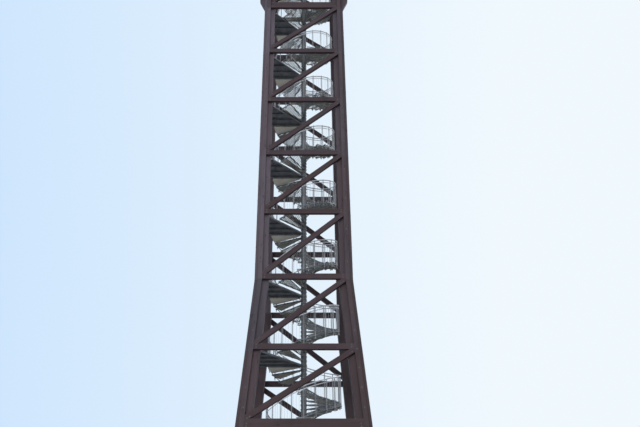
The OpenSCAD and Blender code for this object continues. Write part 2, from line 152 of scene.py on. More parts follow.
# What a member's colour is multiplied by, from the coolest to the warmest
COOL_TINT = (0.97, 0.98, 1.1, 1)
WARM_TINT = (1.12, 0.86, 0.83, 1)
TINT_REACH = 0.35
# Cells a metre of the noise that parts the tower's sides
CELLS_ACROSS = 0.2

# Corners of a box are numbered by bits: 1 for x, 2 for y, 4 for z
BOX_QUADS = np.array([(0, 2, 3, 1), (4, 5, 7, 6), (0, 1, 5, 4), (2, 6, 7, 3), (0, 4, 6, 2), (1, 3, 7, 5)])
BOX_BITS = (np.arange(8)[:, None] >> np.arange(3)) & 1


def make_camera():
    """Camera in front of the tower at the height of an eye, tilted up and aimed as the photograph's was."""
    data = bpy.data.cameras.new("camera")
    data.sensor_width = SENSOR
    data.lens = FOCAL_PIXELS / PHOTO_WIDTH * SENSOR
    data.shift_x = (PHOTO_WIDTH / 2 - AXIS_PIXEL) / PHOTO_WIDTH
    data.clip_end = FARTHEST_SEEN
    camera = bpy.data.objects.new("camera", data)
    camera.location = (0, -CAMERA_BACK, CAMERA_HEIGHT)
    camera.rotation_euler = (math.pi / 2 + CAMERA_PITCH, 0, 0)
    bpy.context.scene.collection.objects.link(camera)
    bpy.context.scene.camera = camera


def half_at(z):
    """Half width of the tower's outer face: the shaft's, plus the splay times the depth below the kink."""
    return SHAFT_HALF + SPLAY * np.maximum(0, KINK_Z - z)


def points_at(x, y, z):
    """Points from their three coordinates, any of which may be one number for all of them."""
    return np.stack(np.broadcast_arrays(x, y, z), axis=-1)


def spread(quads, count, stride):
    """The same faces for each of a number of copies, whose points follow each other."""
    return (quads[None] + stride * np.arange(count)[:, None, None]).reshape(-1, 4)


def boxes(low, high):
    """Boxes between two arrays of corners: each point takes low or high by the bits of its number."""
    low, high = np.atleast_2d(low)[:, None], np.atleast_2d(high)[:, None]
    points = low * (1 - BOX_BITS) + high * BOX_BITS
    return points.reshape(-1, 3), spread(BOX_QUADS, len(points), 8)


def bars(start, end, width, height):
    """Bars between two arrays of points, with upright sides.

    A corner is the start or end, plus or minus half the width across the bar, plus 0 or the height.
    """
    start, end = np.atleast_2d(start).astype(float), np.atleast_2d(end).astype(float)
    ahead = end - start
    across = np.stack((ahead[:, 1], -ahead[:, 0], np.zeros(len(ahead))), axis=1)
    across *= -width / 2 / np.linalg.norm(across, axis=1)[:, None]
    lengthways, sideways, up = BOX_BITS[:, 0], 2 * BOX_BITS[:, 1] - 1, BOX_BITS[:, 2]
    points = start[:, None] + lengthways[:, None] * ahead[:, None] + sideways[:, None] * across[:, None]
    points[..., 2] += up * height
    return points.reshape(-1, 3), spread(BOX_QUADS, len(points), 8)


def tube_faces(rows, sides):
    """Faces of a closed tube, whose points lie in rows round it. Its caps are strips of quads."""
    row_start = sides * np.arange(rows - 1)[:, None]
    side = np.arange(sides)
    first = (row_start + side).ravel()
    beside = (row_start + (side + 1) % sides).ravel()
    wall = np.column_stack((first, beside, beside + sides, first + sides))
    k = np.arange(sides // 2 - 1)
    cap = np.column_stack((k, k + 1, sides - 2 - k, sides - 1 - k))
    return np.vstack((wall, cap[:, ::-1], cap + (rows - 1) * sides))


def lathed(radii, heights, sides, first=0.5):
    """Form turned about the Z axis, from the radius and height of each ring.

    A corner is r cos a, r sin a, with a in equal steps round the ring. The first is a share of a step.
    """
    angle = 2 * np.pi * (np.arange(sides) + first) / sides
    radii, heights = np.array(radii)[:, None], np.array(heights)[:, None]
    points = points_at(radii * np.cos(angle), radii * np.sin(angle), heights)
    return points.reshape(-1, 3), tube_faces(len(radii), sides)


def prism(sides, radius, low, high):
    """Upright prism with its corners on a ring, between two heights."""
    return lathed((radius, radius), (low, high), sides)


def joined(*parts):
    """One set of points and faces from several."""
    counts = np.cumsum([0] + [len(points) for points, _ in parts[:-1]])
    return np.vstack([p for p, _ in parts]), np.vstack([q + n for (_, q), n in zip(parts, counts)])


def stacked(prisms, scale=1.0):
    """Prisms on one axis, each from its corners, its radius and its two heights, made larger by a scale."""
    return joined(*[prism(sides, *(scale * np.array(sizes))) for sides, *sizes in prisms])


def copies(part, origins, frames):
    """Copies of a part: each is its origin plus x, y and z of the part along the rows of its frame."""
    points, quads = part
    placed = np.einsum("vi,nij->nvj", points, frames) + np.asarray(origins)[:, None]
    return placed.reshape(-1, 3), spread(quads, len(placed), len(points))


def turned_frames(angles):
    """Frames turned about Z: x points at the angle, y a quarter turn further, z up."""
    angles = np.asarray(angles, float)
    frames = np.zeros((len(angles), 3, 3))
    frames[:, 0, 0] = frames[:, 1, 1] = np.cos(angles)
    frames[:, 0, 1] = np.sin(angles)
    frames[:, 1, 0] = -np.sin(angles)
    frames[:, 2, 2] = 1
    return frames


def round_axis(part, z, turn):
    """Copies of a part at heights on the tower's axis, each turned about it."""
    origins = points_at(0, 0, np.atleast_1d(z))
    return copies(part, origins, turned_frames(np.broadcast_to(turn, len(origins))))


def four_sides(part):
    """A part of the front, repeated on all four sides by quarter turns about Z."""
    return round_axis(part, np.zeros(4), np.arange(4) * np.pi / 2)


def sweep(path, out, profile):
    """A closed profile carried along a path, with flat ends.

    The profile's two coordinates run along out and along the path's direction crossed with out.
    """
    ahead = np.gradient(path, axis=0)
    ahead /= np.linalg.norm(ahead, axis=1)[:, None]
    over = np.cross(ahead, out)
    over /= np.linalg.norm(over, axis=1)[:, None]
    out = np.cross(over, ahead)
    points = path[:, None] + profile[None, :, :1] * out[:, None] + profile[None, :, 1:] * over[:, None]
    return points.reshape(-1, 3), tube_faces(*points.shape[:2])


def circle_profile(radius, sides):
    """Section of a round bar: r cos a and r sin a, in equal steps."""
    angle = 2 * np.pi * np.arange(sides) / sides
    return np.stack((radius * np.cos(angle), radius * np.sin(angle)), axis=1)


def ring_points(angle, height, radius):
    """Points of a ring or spiral about the column, at r cos a, r sin a, and their outward directions."""
    out = points_at(np.cos(angle), np.sin(angle), 0.0)
    path = out * radius
    path[:, 2] = height
    return path, out


def flat_rail(angle, height, radius):
    """Flat bar bent round the column: its thickness runs outwards, its height up."""
    section = np.array([(-1, -1), (1, -1), (1, 1), (-1, 1)]) * (FLAT_T / 2, FLAT_HEIGHT / 2)
    return sweep(*ring_points(angle, height, radius), section)


def infill(angle, low, height, radius):
    """Thin upright bars on a ring: each is a six-sided prism of unit height, in a frame as tall as it."""
    frames = turned_frames(angle)
    frames[:, 2, 2] = height
    return copies(prism(6, BALUSTER_R, 0, 1), ring_points(angle, low, radius)[0], frames)


def add_piece(name, part, material, smooth=False):
    """Mesh object at the origin, which rides on the tower."""
    points, quads = part
    mesh = bpy.data.meshes.new(name)
    mesh.vertices.add(len(points))
    mesh.vertices.foreach_set("co", np.ascontiguousarray(points, np.float32).ravel())
    mesh.loops.add(quads.size)
    mesh.loops.foreach_set("vertex_index", np.ascontiguousarray(quads, np.int32).ravel())
    mesh.polygons.add(len(quads))
    mesh.polygons.foreach_set("loop_start", np.arange(0, quads.size, 4, dtype=np.int32))
    mesh.update(calc_edges=True)
    mesh.validate()
    if smooth:
        mesh.shade_smooth()
    else:
        mesh.shade_flat()
    mesh.materials.append(material)
    piece = bpy.data.objects.new(name, mesh)
    bpy.context.scene.collection.objects.link(piece)
    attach(piece, BODY)
    return piece


def add_shades(piece, seed):
    """One random number from 0 to 1 for each board of a piece, on all of its faces."""
    count = len(piece.data.polygons)
    faces_each = len(BOX_QUADS)
    shades = np.random.default_rng(seed).random(math.ceil(count / faces_each))
    layer = piece.data.attributes.new("shade", "FLOAT", "FACE")
    layer.data.foreach_set("value", np.repeat(shades, faces_each)[:count].astype(np.float32))


def add_node(tree, kind, inputs=None, **settings):
    """Adds a shader node. An input that is a socket is linked, and any other is set."""
    node = tree.nodes.new("ShaderNode" + kind)
    for name, value in settings.items():
        setattr(node, name, value)
    for key, value in (inputs or {}).items():
        if isinstance(value, bpy.types.NodeSocket):
            tree.links.new(value, node.inputs[key])
        else:
            node.inputs[key].default_value = value
    return node


def sums(tree, operation, *values):
    """Result of a Math node."""
    return add_node(tree, "Math", dict(enumerate(values)), operation=operation).outputs[0]


def mixed(tree, factor, first, second, blend="MIX"):
    """Colour between two colours. A Mix node's inputs 0, 6 and 7 are its factor and its colours."""
    inputs = {0: factor, 6: first, 7: second}
    return add_node(tree, "Mix", inputs, data_type="RGBA", blend_type=blend).outputs[2]


def ranged(tree, value, low, high, to_low=0.0, to_high=1.0):
    """Value mapped from one range to another and clamped."""
    inputs = {"Value": value, "From Min": low, "From Max": high, "To Min": to_low, "To Max": to_high}
    return add_node(tree, "MapRange", inputs).outputs["Result"]


def stretched(tree, vector, scale):
    """Coordinates times a scale on each axis."""
    return add_node(tree, "Mapping", {"Vector": vector, "Scale": scale}).outputs["Vector"]


def noise(tree, vector, scale, detail=4.0, roughness=0.55, distortion=0.0):
    """Cloudy value from 0 to 1, with its number of clouds a metre along each axis."""
    inputs = {"Vector": stretched(tree, vector, scale), "Scale": 1.0, "Detail": detail,
              "Roughness": roughness, "Distortion": distortion}
    return add_node(tree, "TexNoise", inputs).outputs["Fac"]


def new_group(name, inputs, outputs):
    """Empty shader group, with the sockets of its two ends."""
    group = bpy.data.node_groups.new(name, "ShaderNodeTree")
    for label, kind, value in inputs:
        socket = group.interface.new_socket(label, in_out="INPUT", socket_type="NodeSocket" + kind)
        if value is not None:
            socket.default_value = value
    for label, kind in outputs:
        group.interface.new_socket(label, in_out="OUTPUT", socket_type="NodeSocket" + kind)
    return group, group.nodes.new("NodeGroupInput").outputs, group.nodes.new("NodeGroupOutput").inputs


def make_grain_group():
    """Stained, weathered softwood. The grain runs along X of the vector, in metres.

    Bands, fibres and drying cracks are noises stretched along the grain, and knots are cells.
    """
    silver = (0.19, 0.185, 0.2, 1)
    knot_brown = (0.02, 0.013, 0.012, 1)
    crack_black = (0.008, 0.006, 0.007, 1)
    crack_core, crack_edge = 0.0035, 0.011
    knot_core, knot_edge = 0.07, 0.12
    group, given, wanted = new_group(
        "wood_grain",
        [("Vector", "Vector", None), ("Dark", "Color", (0.05, 0.035, 0.04, 1)),
         ("Pale", "Color", (0.12, 0.09, 0.095, 1)), ("Weathering", "Float", 0.5)],
        [("Colour", "Color"), ("Roughness", "Float"), ("Height", "Float")])
    vector = given["Vector"]
    bands = noise(group, vector, (0.35, 5.0, 5.0), detail=3.0, roughness=0.5, distortion=0.6)
    fibres = noise(group, vector, (2.5, 140.0, 140.0), detail=5.0, roughness=0.6)
    patches = noise(group, vector, (0.45, 1.3, 1.3), roughness=0.6)
    # A crack follows the line where a stretched noise passes its middle value
    split_field = noise(group, vector, (1.1, 26.0, 26.0), detail=2.0, roughness=0.5, distortion=0.3)
    off_line = sums(group, "ABSOLUTE", sums(group, "SUBTRACT", split_field, 0.5))
    splits = ranged(group, off_line, crack_core, crack_edge, 1.0, 0.0)
    where = ranged(group, noise(group, vector, (0.7, 3.1, 3.1), detail=2.0), 0.5, 0.58)
    cracks = sums(group, "MULTIPLY", splits, where)
    knot_field = stretched(group, vector, (1.3, 6.0, 6.0))
    cells = add_node(group, "TexVoronoi", {"Vector": knot_field, "Scale": 1.0}).outputs
    knots = ranged(group, cells["Distance"], knot_core, knot_edge, 1.0, 0.0)
    streaks = sums(group, "MULTIPLY_ADD", fibres, 0.55, sums(group, "MULTIPLY", bands, 0.6))
    body = mixed(group, ranged(group, streaks, 0.35, 0.8), given["Dark"], given["Pale"])
    grey = mixed(group, 0.5, given["Pale"], silver)
    silvered = sums(group, "MULTIPLY", ranged(group, patches, 0.48, 0.72), given["Weathering"])
    body = mixed(group, silvered, body, grey)
    body = mixed(group, sums(group, "MULTIPLY", knots, 0.7), body, knot_brown)
    body = mixed(group, cracks, body, crack_black)
    height = sums(group, "MULTIPLY_ADD", fibres, 0.35, sums(group, "MULTIPLY", bands, 0.5))
    height = sums(group, "SUBTRACT", height, cracks)
    rough = ranged(group, sums(group, "ADD", fibres, silvered), 0.3, 1.2, 0.55, 0.85)
    group.links.new(body, wanted["Colour"])
    group.links.new(rough, wanted["Roughness"])
    group.links.new(height, wanted["Height"])
    return group


def make_zinc_group():
    """Hot-dip zinc: small crystal cells, dull bloom in patches and long stains that run down."""
    crystals_a_metre = 70.0
    group, given, wanted = new_group(
        "zinc_coat",
        [("Vector", "Vector", None), ("Bright", "Color", (0.3, 0.32, 0.33, 1)),
         ("Dull", "Color", (0.16, 0.175, 0.18, 1)), ("Stain", "Color", (0.1, 0.1, 0.085, 1))],
        [("Colour", "Color"), ("Roughness", "Float"), ("Height", "Float")])
    vector = given["Vector"]
    cells = add_node(group, "TexVoronoi", {"Vector": vector, "Scale": crystals_a_metre}).outputs
    spangle = add_node(group, "SeparateColor", {"Color": cells["Color"]}).outputs["Red"]
    bloom = noise(group, vector, (4.0, 4.0, 4.0), detail=6.0, roughness=0.65)
    runs = noise(group, vector, (16.0, 16.0, 0.8))
    bright = mixed(group, sums(group, "MULTIPLY", spangle, 0.35), given["Bright"], given["Dull"])
    coat = mixed(group, ranged(group, bloom, 0.4, 0.65), bright, given["Dull"])
    coat = mixed(group, ranged(group, runs, 0.55, 0.75, 0.0, 0.6), coat, given["Stain"])
    uneven = sums(group, "ADD", bloom, sums(group, "MULTIPLY", spangle, 0.2))
    height = sums(group, "ADD", bloom, sums(group, "MULTIPLY", spangle, 0.3))
    group.links.new(coat, wanted["Colour"])
    group.links.new(ranged(group, uneven, 0.3, 0.8, 0.38, 0.68), wanted["Roughness"])
    group.links.new(height, wanted["Height"])
    return group


def new_material(name):
    """Material, its node tree, the inputs of its shader, and the object's coordinates."""
    material = bpy.data.materials.new(name)
    material.use_nodes = True
    tree = material.node_tree
    place = tree.nodes.new("ShaderNodeTexCoord").outputs["Object"]
    return material, tree, tree.nodes["Principled BSDF"].inputs, place


def raise_surface(tree, shader, height, strength, depth):
    """Feeds the shader's normal from a height."""
    raised = add_node(tree, "Bump", {"Strength": strength, "Distance": depth, "Height": height})
    tree.links.new(raised.outputs["Normal"], shader["Normal"])


def use_group(tree, group, inputs, shader, bump, depth):
    """Places a group in a material, feeds roughness and bump from it, and gives its colour."""
    node = add_node(tree, "Group", inputs, node_tree=group)
    raise_surface(tree, shader, node.outputs["Height"], bump, depth)
    tree.links.new(node.outputs["Roughness"], shader["Roughness"])
    return node.outputs["Colour"]


def by_side(tree, place):
    """Coordinates that are the front's on all four sides: x and y change places where x is the larger.

    A Mix node's inputs 0, 4 and 5 are its factor and its vectors.
    """
    x, y, z = add_node(tree, "SeparateXYZ", {"Vector": place}).outputs
    aside = sums(tree, "GREATER_THAN", sums(tree, "ABSOLUTE", x), sums(tree, "ABSOLUTE", y))
    swapped = add_node(tree, "CombineXYZ", {"X": y, "Y": x, "Z": z}).outputs["Vector"]
    return add_node(tree, "Mix", {0: aside, 4: place, 5: swapped}, data_type="VECTOR").outputs[1]


def make_timber(name, direction, dark, pale, weathering, warmth=0.5, boards=False, all_round=False):
    """Timber with its grain along a direction, or along the front's on all four sides.

    Boards take a shade of their own from their attribute. Other members take a shade and a tint
    of their own from white noise: its cells are a bay high, and part the tower's sides, but not
    the length of one member.
    """
    board_shadow, member_shadow = (0.02, 0.015, 0.015, 1), (0.03, 0.022, 0.024, 1)
    darkest_board, darkest_member = 0.35, 0.22
    longest_shift = 37.0
    material, tree, shader, place = new_material(name)
    if all_round:
        place = by_side(tree, place)
    turn = Vector(direction).rotation_difference(Vector((1, 0, 0))).to_euler()
    along = add_node(tree, "Mapping", {"Vector": place, "Rotation": turn}).outputs["Vector"]
    if boards:
        shade = add_node(tree, "Attribute", attribute_name="shade").outputs["Fac"]
        onwards = sums(tree, "MULTIPLY", shade, longest_shift)
        shift = add_node(tree, "CombineXYZ", {"X": onwards}).outputs["Vector"]
        along = add_node(tree, "VectorMath", {0: along, 1: shift}, operation="ADD").outputs["Vector"]
    inputs = {"Vector": along, "Dark": (*dark, 1), "Pale": (*pale, 1), "Weathering": weathering}
    colour = use_group(tree, GRAIN, inputs, shader, bump=0.45, depth=0.003)
    if boards:
        colour = mixed(tree, ranged(tree, shade, 0.0, 1.0, 0.0, darkest_board), colour, board_shadow)
    else:
        across = [0.0 if abs(part) > 0.1 else CELLS_ACROSS for part in direction[:2]]
        bay = stretched(tree, place, (*across, 1 / BAY))
        cell = add_node(tree, "VectorMath", {0: bay}, operation="FLOOR").outputs["Vector"]
        member = add_node(tree, "TexWhiteNoise", {"Vector": cell}).outputs
        darker = ranged(tree, member["Value"], 0.0, 1.0, 0.0, darkest_member)
        colour = mixed(tree, darker, colour, member_shadow)
        red = add_node(tree, "SeparateColor", {"Color": member["Color"]}).outputs["Red"]
        coolest, warmest = max(0.0, warmth - TINT_REACH), min(1.0, warmth + TINT_REACH)
        tint = mixed(tree, ranged(tree, red, 0.0, 1.0, coolest, warmest), COOL_TINT, WARM_TINT)
        colour = mixed(tree, 1.0, colour, tint, "MULTIPLY")
    tree.links.new(colour, shader["Base Color"])
    shader["Specular IOR Level"].default_value = 0.3
    return material


def make_zinc(name, bright, dull, stain, metallic):
    """Zinc coat with colours of its own for its bright crystals, its bloom and its stains."""
    material, tree, shader, place = new_material(name)
    inputs = {"Vector": place, "Bright": (*bright, 1), "Dull": (*dull, 1), "Stain": (*stain, 1)}
    colour = use_group(tree, ZINC, inputs, shader, bump=0.15, depth=0.001)
    tree.links.new(colour, shader["Base Color"])
    shader["Metallic"].default_value = metallic
    return material


def make_roof_sheet():
    """Matt dark sheet on top, and the brown boards that carry it where the surface faces down."""
    sheet_dark, sheet_pale = (0.035, 0.036, 0.04, 1), (0.062, 0.062, 0.066, 1)
    streak = (0.095, 0.09, 0.085, 1)
    board_dark, board_pale = (0.06, 0.042, 0.038, 1), (0.14, 0.1, 0.085, 1)
    material, tree, shader, place = new_material("dark_roof_sheet")
    cloud = noise(tree, place, (0.9, 0.9, 0.9), detail=5.0, roughness=0.6)
    runs = noise(tree, place, (7.0, 7.0, 0.6), roughness=0.6)
    top = mixed(tree, ranged(tree, cloud, 0.35, 0.7), sheet_dark, sheet_pale)
    top = mixed(tree, ranged(tree, runs, 0.52, 0.75, 0.0, 0.5), top, streak)
    inputs = {"Vector": place, "Dark": board_dark, "Pale": board_pale, "Weathering": 0.2}
    boards = add_node(tree, "Group", inputs, node_tree=GRAIN).outputs["Colour"]
    normal = tree.nodes.new("ShaderNodeTexCoord").outputs["Normal"]
    up = add_node(tree, "SeparateXYZ", {"Vector": normal}).outputs["Z"]
    below = ranged(tree, up, -0.3, -0.2, 1.0, 0.0)
    tree.links.new(mixed(tree, below, top, boards), shader["Base Color"])
    tree.links.new(ranged(tree, cloud, 0.3, 0.7, 0.42, 0.6), shader["Roughness"])
    raise_surface(tree, shader, cloud, strength=0.2, depth=0.004)
    return material


def make_pale_floor():
    """Plain pale floor. It shows pale to the camera, and gives back less light from below."""
    shown_dark, shown_pale, given_back = (0.7, 0.7, 0.69, 1), (0.74, 0.74, 0.73, 1), (0.41, 0.42, 0.43, 1)
    material, tree, shader, place = new_material("pale_floor")
    seen = tree.nodes.new("ShaderNodeLightPath").outputs["Is Camera Ray"]
    cloud = noise(tree, place, (0.25, 0.25, 0.25), detail=3.0)
    shown = mixed(tree, cloud, shown_dark, shown_pale)
    tree.links.new(mixed(tree, seen, given_back, shown), shader["Base Color"])
    shader["Roughness"].default_value = 0.9
    return material


def make_floor(material):
    """Level square of floor, which reaches far past the camera's view."""
    reach = 600.0
    mesh = bpy.data.meshes.new("floor")
    mesh.from_pydata([(-reach, -reach, 0), (reach, -reach, 0), (reach, reach, 0), (-reach, reach, 0)],
                     [], [(0, 1, 2, 3)])
    mesh.materials.append(material)
    floor = bpy.data.objects.new("floor", mesh)
    bpy.context.scene.collection.objects.link(floor)


def make_world():
    """Even pale light. The camera and reflections see a sky that grows paler from left to right."""
    sky_left, sky_right = (0.61, 0.785, 0.985, 1), (0.87, 0.94, 0.985, 1)
    light_colour = (0.95, 0.97, 1.0, 1)
    world = bpy.data.worlds.new("world")
    world.use_nodes = True
    tree = world.node_tree
    background = tree.nodes["Background"]
    path = tree.nodes.new("ShaderNodeLightPath").outputs
    shown = sums(tree, "MAXIMUM", path["Is Camera Ray"], path["Is Glossy Ray"])
    direction = tree.nodes.new("ShaderNodeTexCoord").outputs["Generated"]
    to_right = add_node(tree, "SeparateXYZ", {"Vector": direction}).outputs["X"]
    sky = mixed(tree, ranged(tree, to_right, -0.4, 0.25), sky_left, sky_right)
    tree.links.new(mixed(tree, shown, light_colour, sky), background.inputs["Color"])
    tree.links.new(ranged(tree, shown, 0.0, 1.0, SKY_LIGHT, 1.0), background.inputs["Strength"])
    bpy.context.scene.world = world


def make_sun(name, energy, softness, direction):
    """Light that comes from far away along a direction."""
    data = bpy.data.lights.new(name, "SUN")
    data.energy = energy
    data.angle = math.radians(softness)
    sun = bpy.data.objects.new(name, data)
    sun.rotation_euler = Vector(direction).to_track_quat("-Z", "Y").to_euler()
    bpy.context.scene.collection.objects.link(sun)


def dress(material, *names):
    """Gives CAD nodes a finish."""
    for name in names:
        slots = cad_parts[name].data.materials
        slots.clear()
        slots.append(material)


def tread_places():
    """Height and turn of each tread, then of each sector of the landings, then of the top landing's."""
    sector = np.where(FLIGHT_OF < LEVELS, PLACE - 0.5, PLACE + 0.5 - LANDING_SECTORS)
    tread_z = STEP[~ON_LANDING] * RISER
    tread_turn = FIRST_TURN + SECTOR * sector[~ON_LANDING]
    middle = np.arange(LANDING_SECTORS) + 0.5
    landing_z = np.repeat(STEP[ON_LANDING] * RISER, LANDING_SECTORS)
    landing_turn = np.tile(FIRST_TURN + SECTOR * (middle - LANDING_SECTORS), ON_LANDING.sum())
    exit_turn = tread_turn[-1] + SECTOR / 2 + TREAD_LAP + SECTOR * middle
    return (tread_z, tread_turn), (landing_z, landing_turn), (np.full(LANDING_SECTORS, FLOOR_Z), exit_turn)


def walking_line(sector):
    """Height of the line through the middles of the treads, at a place counted in sectors.

    It rises a step a sector along a flight, and eases to level over the middle of each landing.
    """
    half_riser = RISER / 2
    knots = [(LINE_START, half_riser)]
    for n, z in enumerate(LANDING_Z, 1):
        end = n * TURN_SECTORS
        start = end - LANDING_SECTORS
        knots += [(start, z - half_riser), (start + 1, z), (end - 1, z), (end, z + half_riser)]
    knots += [(LAST_LANDING, LEVELS * BAY + half_riser), (LINE_END, LEVELS * BAY + 2.5 * RISER)]
    return np.interp(sector, *np.array(knots).T)


def eased_line(sector):
    """The walking line with its bends rounded: the mean of the line a little before and after."""
    reach, samples = 0.35, 5
    return np.mean([walking_line(sector + d) for d in np.linspace(-reach, reach, samples)], axis=0)


def add_stair_rails():
    """Handrail tube, a flat rail under it, and one along the treads' outer ends."""
    spacing, tube_sides = 0.25, 12
    sector = np.arange(LINE_START, LINE_END + spacing / 2, spacing)
    angle = FIRST_TURN + SECTOR * sector
    line = eased_line(sector)
    tube = sweep(*ring_points(angle, line + RAIL_H, POST_RING), circle_profile(RAIL_R, tube_sides))
    handrail = add_piece("handrail", tube, RAIL_ZINC, smooth=True)
    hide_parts("handrail_lower", "handrail_upper")
    add_piece("rail_flats", flat_rail(angle, line + UPPER_FLAT, POST_RING), RAIL_ZINC)
    add_piece("edge_flats", flat_rail(angle, line + LOWER_FLAT, POST_RING), STAIR_ZINC)


def add_balusters():
    """Thin bars between the flat rails, evenly spaced along the stair."""
    sector = np.arange(LINE_START, LINE_END, 1 / BALUSTERS_A_SECTOR) + 0.5 / BALUSTERS_A_SECTOR
    angle = FIRST_TURN + SECTOR * sector
    low = eased_line(sector) + LOWER_FLAT
    # The balusters' darker zinc is partly painted shade of their backlit side
    add_piece("balusters", infill(angle, low, UPPER_FLAT - LOWER_FLAT, POST_RING), POST_ZINC_AND_SHADE)


def clasp_part():
    """Clasp of a post on the X axis: a plate on the tread's rim, one past the post, an ear at each side."""
    plate_half, plate_low, plate_top = 0.035, -0.038, -0.002
    ear_in, ear_out, low, top = 0.016, 0.022, -0.036, -0.006
    rim_in, rim_out = TREAD_R - 0.004, TREAD_R + 0.004
    past_in, past_out = POST_RING + 0.016, POST_RING + 0.024
    return boxes([(rim_in, -plate_half, plate_low), (past_in, -ear_out, low),
                  (rim_out, -ear_out, low), (rim_out, ear_in, low)],
                 [(rim_out, plate_half, plate_top), (past_out, ear_out, top),
                  (past_in, -ear_in, top), (past_in, ear_out, top)])


def add_post_clamps():
    """Round feet under the posts that stand on the landings' plates, and clasps on all the others."""
    (tread_z, tread_turn), (landing_z, landing_turn), _ = tread_places()
    on_plate = POST_RING * np.sin(landing_turn) < ARM_HALF
    feet_turn = landing_turn[on_plate]
    feet, _ = ring_points(feet_turn, landing_z[on_plate], POST_RING)
    add_piece("post_feet", copies(stacked(POST_FOOT), feet, turned_frames(feet_turn)), STAIR_ZINC)
    z = np.concatenate((tread_z, landing_z[~on_plate]))
    turn = np.concatenate((tread_turn, landing_turn[~on_plate]))
    add_piece("post_clamps", round_axis(clasp_part(), z, turn), STAIR_ZINC)


def grating_fill(radius, depth):
    """Thin bars and cross rods of one sector, between the bars of the frame.

    A bar at a distance y from the middle line runs from the side of the wedge to its rim,
    and a rod at a distance x from the axis runs between the two sides.
    """
    bars_a_side, bar_half, bar_top = 4, 0.001, -0.001
    rod_half, rod_low, rod_top = 0.0015, -0.005, -0.002
    y = (np.arange(-bars_a_side, bars_a_side) + 0.5) * GRATING_PITCH
    wedge_side = (GRATING_FRAME / 2 + np.abs(y) * math.cos(HALF_TREAD)) / math.sin(HALF_TREAD)
    start = np.maximum(wedge_side, HUB_R + GRATING_PITCH)
    end = np.sqrt((radius - GRATING_FRAME) ** 2 - y ** 2)
    keep = end > start
    y, start, end = y[keep], start[keep], end[keep]
    fine = boxes(points_at(start, y - bar_half, -depth), points_at(end, y + bar_half, bar_top))
    x = np.arange(HUB_R + 1.5 * GRATING_PITCH, radius - GRATING_FRAME, GRATING_PITCH)
    reach = x * math.tan(HALF_TREAD) - GRATING_FRAME / 2
    rods = boxes(points_at(x - rod_half, -reach, rod_low), points_at(x + rod_half, reach, rod_top))
    return joined(fine, rods)


def nosing():
    """Flat strip along the edge of a tread that is stepped on first."""
    width, low, top, short = 0.022, -0.004, 0.001, 0.012
    strip = boxes([(HUB_R, 0.0, low)], [(TREAD_R - short, width, top)])
    return round_axis(strip, 0, -HALF_TREAD)


def behind_arm(part):
    """Boxes of a part that lie behind the arm on the X axis, and those that cross it cut back to it."""
    least = 0.002
    points = part[0].reshape(-1, 8, 3)
    points = points[points[..., 1].max(axis=1) > ARM_HALF + least]
    points[..., 1] = np.maximum(points[..., 1], ARM_HALF)
    return points.reshape(-1, 3), spread(BOX_QUADS, len(points), 8)


def add_gratings():
    """Fine bars of the treads, the landings' back halves and the top landing, and the treads' nosings."""
    treads, (landing_z, landing_turn), top = tread_places()
    well_gap, rounding = 0.005, 0.01
    back = np.sin(landing_turn) > -rounding
    landing_fill = round_axis(grating_fill(TREAD_R, LANDING_BAR_DEPTH), landing_z[back], landing_turn[back])
    add_piece("tread_bars", round_axis(grating_fill(TREAD_R, TREAD_BAR_DEPTH), *treads), GRATING_ZINC)
    add_piece("landing_bars", behind_arm(landing_fill), GRATING_ZINC)
    top_fill = grating_fill(WELL_R - well_gap, LANDING_BAR_DEPTH)
    add_piece("top_landing_bars", round_axis(top_fill, *top), GRATING_ZINC)
    add_piece("nosings", round_axis(nosing(), *treads), STAIR_ZINC)


def sector_sheet(angles, inner, outer, low, high):
    """Flat sheet between two radii. A corner is r cos a, r sin a, but stays behind the arm on the X axis."""
    x = np.multiply.outer(np.cos(angles), (inner, outer))
    y = np.maximum(np.multiply.outer(np.sin(angles), (inner, outer)), ARM_HALF)
    points = np.concatenate([points_at(x, y, z).reshape(-1, 3) for z in (low, high)])
    over = 2 * len(angles)
    last = over - 2
    i = np.arange(0, last, 2)
    below = np.column_stack((i, i + 2, i + 3, i + 1))
    rim = np.column_stack((i + 1, i + 3, i + 3 + over, i + 1 + over))
    hub = np.column_stack((i, i + over, i + 2 + over, i + 2))
    ends = np.array([(0, 1, 1 + over, over), (last, last + over, last + 1 + over, last + 1)])
    return points, np.vstack((below, below[:, ::-1] + over, rim, hub, ends))


def add_landing_sheets():
    """Thin pale sheet under the back gratings of each landing. Its pale colour is partly painted reflection
    of the bright sky on the landings' undersides.
    """
    low, high, corners = -0.0535, -0.0505, 7
    first = FIRST_TURN + 2 * math.pi - SECTOR * LANDING_SECTORS - TREAD_LAP
    sheet = sector_sheet(np.linspace(first, math.pi, corners), HUB_R, TREAD_R, low, high)
    add_piece("landing_sheets", round_axis(sheet, LANDING_Z, 0), SHEET_ZINC_AND_REFLECTION)


def add_column_collars():
    """Welded collars under the treads' rings."""
    ring_depth = 0.04
    add_piece("collars", round_axis(stacked(COLLAR), STEP * RISER - ring_depth, 0), COLUMN_ZINC)


def add_column_cap():
    """Domed cap on the column: a quarter circle of radius r cos t and height h sin t, over a skirt."""
    radius, rise, skirt = COLUMN_R + 0.006, 0.05, 0.03
    rings, sides = 6, 32
    t = np.linspace(0, np.pi / 2, rings + 1)[:-1]
    radii = np.concatenate(([radius], radius * np.cos(t)))
    heights = np.concatenate(([-skirt], rise * np.sin(t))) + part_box("stair_column")[1].z
    add_piece("column_cap", lathed(radii, heights, sides, first=0), COLUMN_ZINC, smooth=True)


